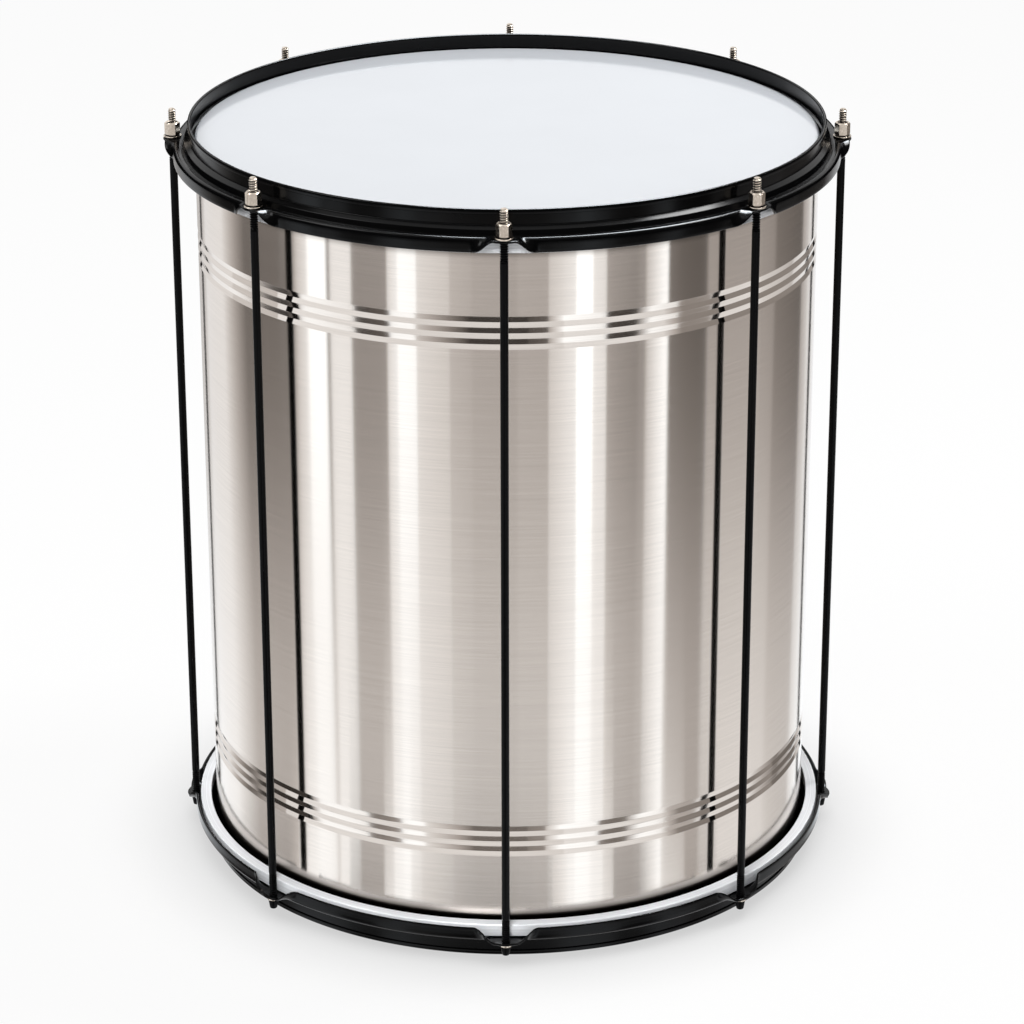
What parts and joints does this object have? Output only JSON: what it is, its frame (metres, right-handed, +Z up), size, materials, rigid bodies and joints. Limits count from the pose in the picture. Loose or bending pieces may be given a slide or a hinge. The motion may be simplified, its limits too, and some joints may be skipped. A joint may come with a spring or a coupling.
{
  "type": "surdo drum",
  "caption": "Deep samba bass drum: a ribbed steel shell closed by two heads, with black counterhoops drawn together by long tie rods that carry tension nuts.",
  "frame": {"origin": "centre of the lower rim, on the floor that the drum stands on", "axes": "+Z up along the drum's axis, -Y towards the tie rod that faces the viewer, +X to the viewer's right"},
  "size_m": [0.5544, 0.5544, 0.6297],
  "materials": {
    "shell_steel": "stainless sheet brushed round the drum",
    "head_film": "smooth white polyester film with a soft sheen",
    "flesh_aluminium": "brushed round the hoop",
    "hoop_paint": "semi-gloss black powder coat",
    "rod_paint": "satin black coat",
    "nickel": "warm nickel plate"
  },
  "bodies": {
    "shell_and_rods": {"shell": "shell_steel", "bottom_hoop": "hoop_paint", "bottom_head_film": "head_film", "bottom_flesh_hoop": "flesh_aluminium", "tie_rod_1": "rod_paint", "tie_rod_2": "rod_paint", "tie_rod_3": "rod_paint", "tie_rod_4": "rod_paint", "tie_rod_5": "rod_paint", "tie_rod_6": "rod_paint", "tie_rod_7": "rod_paint", "tie_rod_8": "rod_paint", "rod_head_washer_1": "nickel", "rod_head_washer_2": "nickel", "rod_head_washer_3": "nickel", "rod_head_washer_4": "nickel", "rod_head_washer_5": "nickel", "rod_head_washer_6": "nickel", "rod_head_washer_7": "nickel", "rod_head_washer_8": "nickel"},
    "top_head": {"top_hoop": "hoop_paint", "top_head_film": "head_film", "top_flesh_hoop": "flesh_aluminium", "nut_washer_1": "nickel", "nut_washer_2": "nickel", "nut_washer_3": "nickel", "nut_washer_4": "nickel", "nut_washer_5": "nickel", "nut_washer_6": "nickel", "nut_washer_7": "nickel", "nut_washer_8": "nickel"},
    "nut_1": {"tension_nut_1": "nickel"},
    "nut_2": {"tension_nut_2": "nickel"},
    "nut_3": {"tension_nut_3": "nickel"},
    "nut_4": {"tension_nut_4": "nickel"},
    "nut_5": {"tension_nut_5": "nickel"},
    "nut_6": {"tension_nut_6": "nickel"},
    "nut_7": {"tension_nut_7": "nickel"},
    "nut_8": {"tension_nut_8": "nickel"}
  },
  "joints": [
    {"name": "head_lift", "type": "slide", "parent": "shell_and_rods", "child": "top_head", "axis": [0, 0, 1], "range_m": [0, 0.01016]},
    {"name": "nut_spin_1", "type": "hinge", "parent": "top_head", "child": "nut_1", "pos_m": [0, -0.2697, 0.613], "axis": [0, 0, 1], "range_deg": [0, 2880]},
    {"name": "nut_spin_2", "type": "hinge", "parent": "top_head", "child": "nut_2", "pos_m": [0.19071, -0.19071, 0.613], "axis": [0, 0, 1], "range_deg": [0, 2880]},
    {"name": "nut_spin_3", "type": "hinge", "parent": "top_head", "child": "nut_3", "pos_m": [0.2697, 0, 0.613], "axis": [0, 0, 1], "range_deg": [0, 2880]},
    {"name": "nut_spin_4", "type": "hinge", "parent": "top_head", "child": "nut_4", "pos_m": [0.19071, 0.19071, 0.613], "axis": [0, 0, 1], "range_deg": [0, 2880]},
    {"name": "nut_spin_5", "type": "hinge", "parent": "top_head", "child": "nut_5", "pos_m": [0, 0.2697, 0.613], "axis": [0, 0, 1], "range_deg": [0, 2880]},
    {"name": "nut_spin_6", "type": "hinge", "parent": "top_head", "child": "nut_6", "pos_m": [-0.19071, 0.19071, 0.613], "axis": [0, 0, 1], "range_deg": [0, 2880]},
    {"name": "nut_spin_7", "type": "hinge", "parent": "top_head", "child": "nut_7", "pos_m": [-0.2697, 0, 0.613], "axis": [0, 0, 1], "range_deg": [0, 2880]},
    {"name": "nut_spin_8", "type": "hinge", "parent": "top_head", "child": "nut_8", "pos_m": [-0.19071, -0.19071, 0.613], "axis": [0, 0, 1], "range_deg": [0, 2880]}
  ],
  "couplings": [
    {"joint": "nut_spin_1", "follows": "head_lift", "rad_per_m": 4947.4},
    {"joint": "nut_spin_2", "follows": "head_lift", "rad_per_m": 4947.4},
    {"joint": "nut_spin_3", "follows": "head_lift", "rad_per_m": 4947.4},
    {"joint": "nut_spin_4", "follows": "head_lift", "rad_per_m": 4947.4},
    {"joint": "nut_spin_5", "follows": "head_lift", "rad_per_m": 4947.4},
    {"joint": "nut_spin_6", "follows": "head_lift", "rad_per_m": 4947.4},
    {"joint": "nut_spin_7", "follows": "head_lift", "rad_per_m": 4947.4},
    {"joint": "nut_spin_8", "follows": "head_lift", "rad_per_m": 4947.4}
  ]
}
